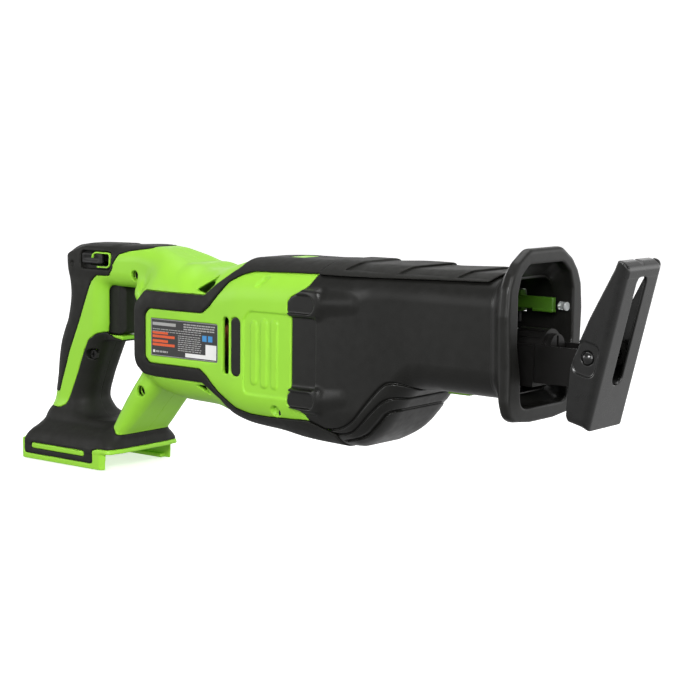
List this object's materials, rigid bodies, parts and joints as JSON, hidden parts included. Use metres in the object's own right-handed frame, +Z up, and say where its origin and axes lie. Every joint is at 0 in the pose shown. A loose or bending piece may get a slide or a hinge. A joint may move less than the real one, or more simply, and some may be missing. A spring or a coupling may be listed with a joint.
{
  "type": "reciprocating saw",
  "caption": "Cordless reciprocating saw with a D-handle, slide-on battery foot, in-line motor, crank and yoke drive, quick blade clamp and a sliding, tilting shoe.",
  "frame": {"origin": "middle of the bounding box in X and Y, on the plane of the battery foot's underside", "axes": "+X towards the blade end, +Y to the saw's left side, +Z up"},
  "size_m": [0.475, 0.082, 0.167],
  "materials": {
    "lime_plastic": "satin moulded",
    "overmould": "matte soft-touch",
    "black_plastic": "fine textured semi-gloss",
    "label_film": "satin film",
    "zinc_steel": "ground",
    "black_steel": "black oxide, semi-gloss",
    "cast_aluminium": "as cast",
    "bronze": "machined",
    "copper_wire": "enamelled",
    "circuit_board": "solder mask",
    "clear_lens": "polished",
    "red_wire": "insulation",
    "blue_wire": "insulation"
  },
  "bodies": {
    "housing": {"housing_right": "lime_plastic", "housing_left": "lime_plastic", "handle_back_grip_right": "overmould", "handle_back_grip_left": "overmould", "front_grip_right": "overmould", "front_grip_left": "overmould", "body_band_right": "overmould", "body_band_left": "overmould", "nose_top_grip": "overmould", "chin_grip": "overmould", "plunger_seal": "overmould", "nose_cover": "black_plastic", "nose_ring": "black_plastic", "vent_inserts": "black_plastic", "switch_module": "black_plastic", "terminal_block": "black_plastic", "label_right": "label_film", "label_left": "label_film", "housing_screws": "zinc_steel", "gear_case_screws": "zinc_steel", "crank_bearings": "zinc_steel", "motor_bearings": "zinc_steel", "trigger_spring": "zinc_steel", "release_spring": "zinc_steel", "lever_pin": "zinc_steel", "stator_core": "zinc_steel", "shoe_guide": "black_steel", "gear_case_lower": "cast_aluminium", "gear_case_upper": "cast_aluminium", "motor_rear_bracket": "cast_aluminium", "controller_module": "cast_aluminium", "plunger_bushes": "bronze", "battery_contacts": "bronze", "stator_windings": "copper_wire", "hall_sensor_board": "circuit_board", "led_lens": "clear_lens", "battery_leads": "red_wire", "motor_leads": "blue_wire"},
    "trigger": {"trigger": "black_plastic"},
    "lock_off": {"lock_off_slider": "black_plastic"},
    "rotor": {"rotor_shaft": "zinc_steel", "rotor_core": "black_steel", "cooling_fan": "black_plastic", "motor_pinion": "zinc_steel"},
    "crank": {"crank_gear": "zinc_steel", "crank_shaft": "zinc_steel", "crank_counterweight": "black_steel", "crank_pin": "zinc_steel", "crank_roller": "bronze"},
    "plunger": {"plunger_shaft": "zinc_steel", "yoke": "zinc_steel", "blade_clamp": "black_steel", "collar_spring": "zinc_steel"},
    "collar": {"clamp_collar": "black_steel"},
    "release_lever": {"blade_release_lever": "lime_plastic"},
    "shoe_carrier": {"shoe_arm": "black_steel", "shoe_pivot_pin": "zinc_steel"},
    "shoe": {"shoe_plate": "black_steel"},
    "shoe_release": {"shoe_release_button": "lime_plastic"}
  },
  "joints": [
    {"name": "trigger_pull", "type": "slide", "parent": "housing", "child": "trigger", "axis": [-1, 0, 0], "range_m": [0, 0.007], "stiffness_N_per_m": 500, "springref_m": -0.006, "deforming": ["trigger_spring"]},
    {"name": "lock_off_slide", "type": "slide", "parent": "housing", "child": "lock_off", "axis": [1, 0, 0], "range_m": [0, 0.008], "stiffness_N_per_m": 150, "springref_m": -0.003},
    {"name": "crank_spin", "type": "hinge", "parent": "housing", "child": "crank", "pos_m": [0.049, 0, 0.084], "axis": [0, 0, 1], "continuous": true},
    {"name": "rotor_spin", "type": "hinge", "parent": "housing", "child": "rotor", "pos_m": [-0.07, 0, 0.097], "axis": [1, 0, 0], "continuous": true},
    {"name": "plunger_stroke", "type": "slide", "parent": "housing", "child": "plunger", "axis": [1, 0, 0], "range_m": [-0.014, 0.014]},
    {"name": "collar_twist", "type": "hinge", "parent": "plunger", "child": "collar", "pos_m": [0.168, 0, 0.11], "axis": [1, 0, 0], "range_deg": [0, 60], "stiffness_Nm_per_rad": 0.1, "springref_deg": -28.65},
    {"name": "release_lever_swing", "type": "hinge", "parent": "housing", "child": "release_lever", "pos_m": [0.136, 0.031, 0.132], "axis": [0, 0, -1], "range_deg": [0, 12], "stiffness_Nm_per_rad": 0.5, "springref_deg": -5.73},
    {"name": "shoe_depth", "type": "slide", "parent": "housing", "child": "shoe_carrier", "axis": [-1, 0, 0], "range_m": [0, 0.02]},
    {"name": "shoe_tilt", "type": "hinge", "parent": "shoe_carrier", "child": "shoe", "pos_m": [0.2135, 0, 0.1085], "axis": [0, 1, 0], "range_deg": [-30, 10]},
    {"name": "shoe_release_press", "type": "slide", "parent": "housing", "child": "shoe_release", "axis": [0, 0, 1], "range_m": [0, 0.003], "stiffness_N_per_m": 600, "springref_m": -0.002, "deforming": ["release_spring"]}
  ],
  "couplings": [
    {"joint": "rotor_spin", "follows": "crank_spin", "ratio": -4.8889}
  ]
}
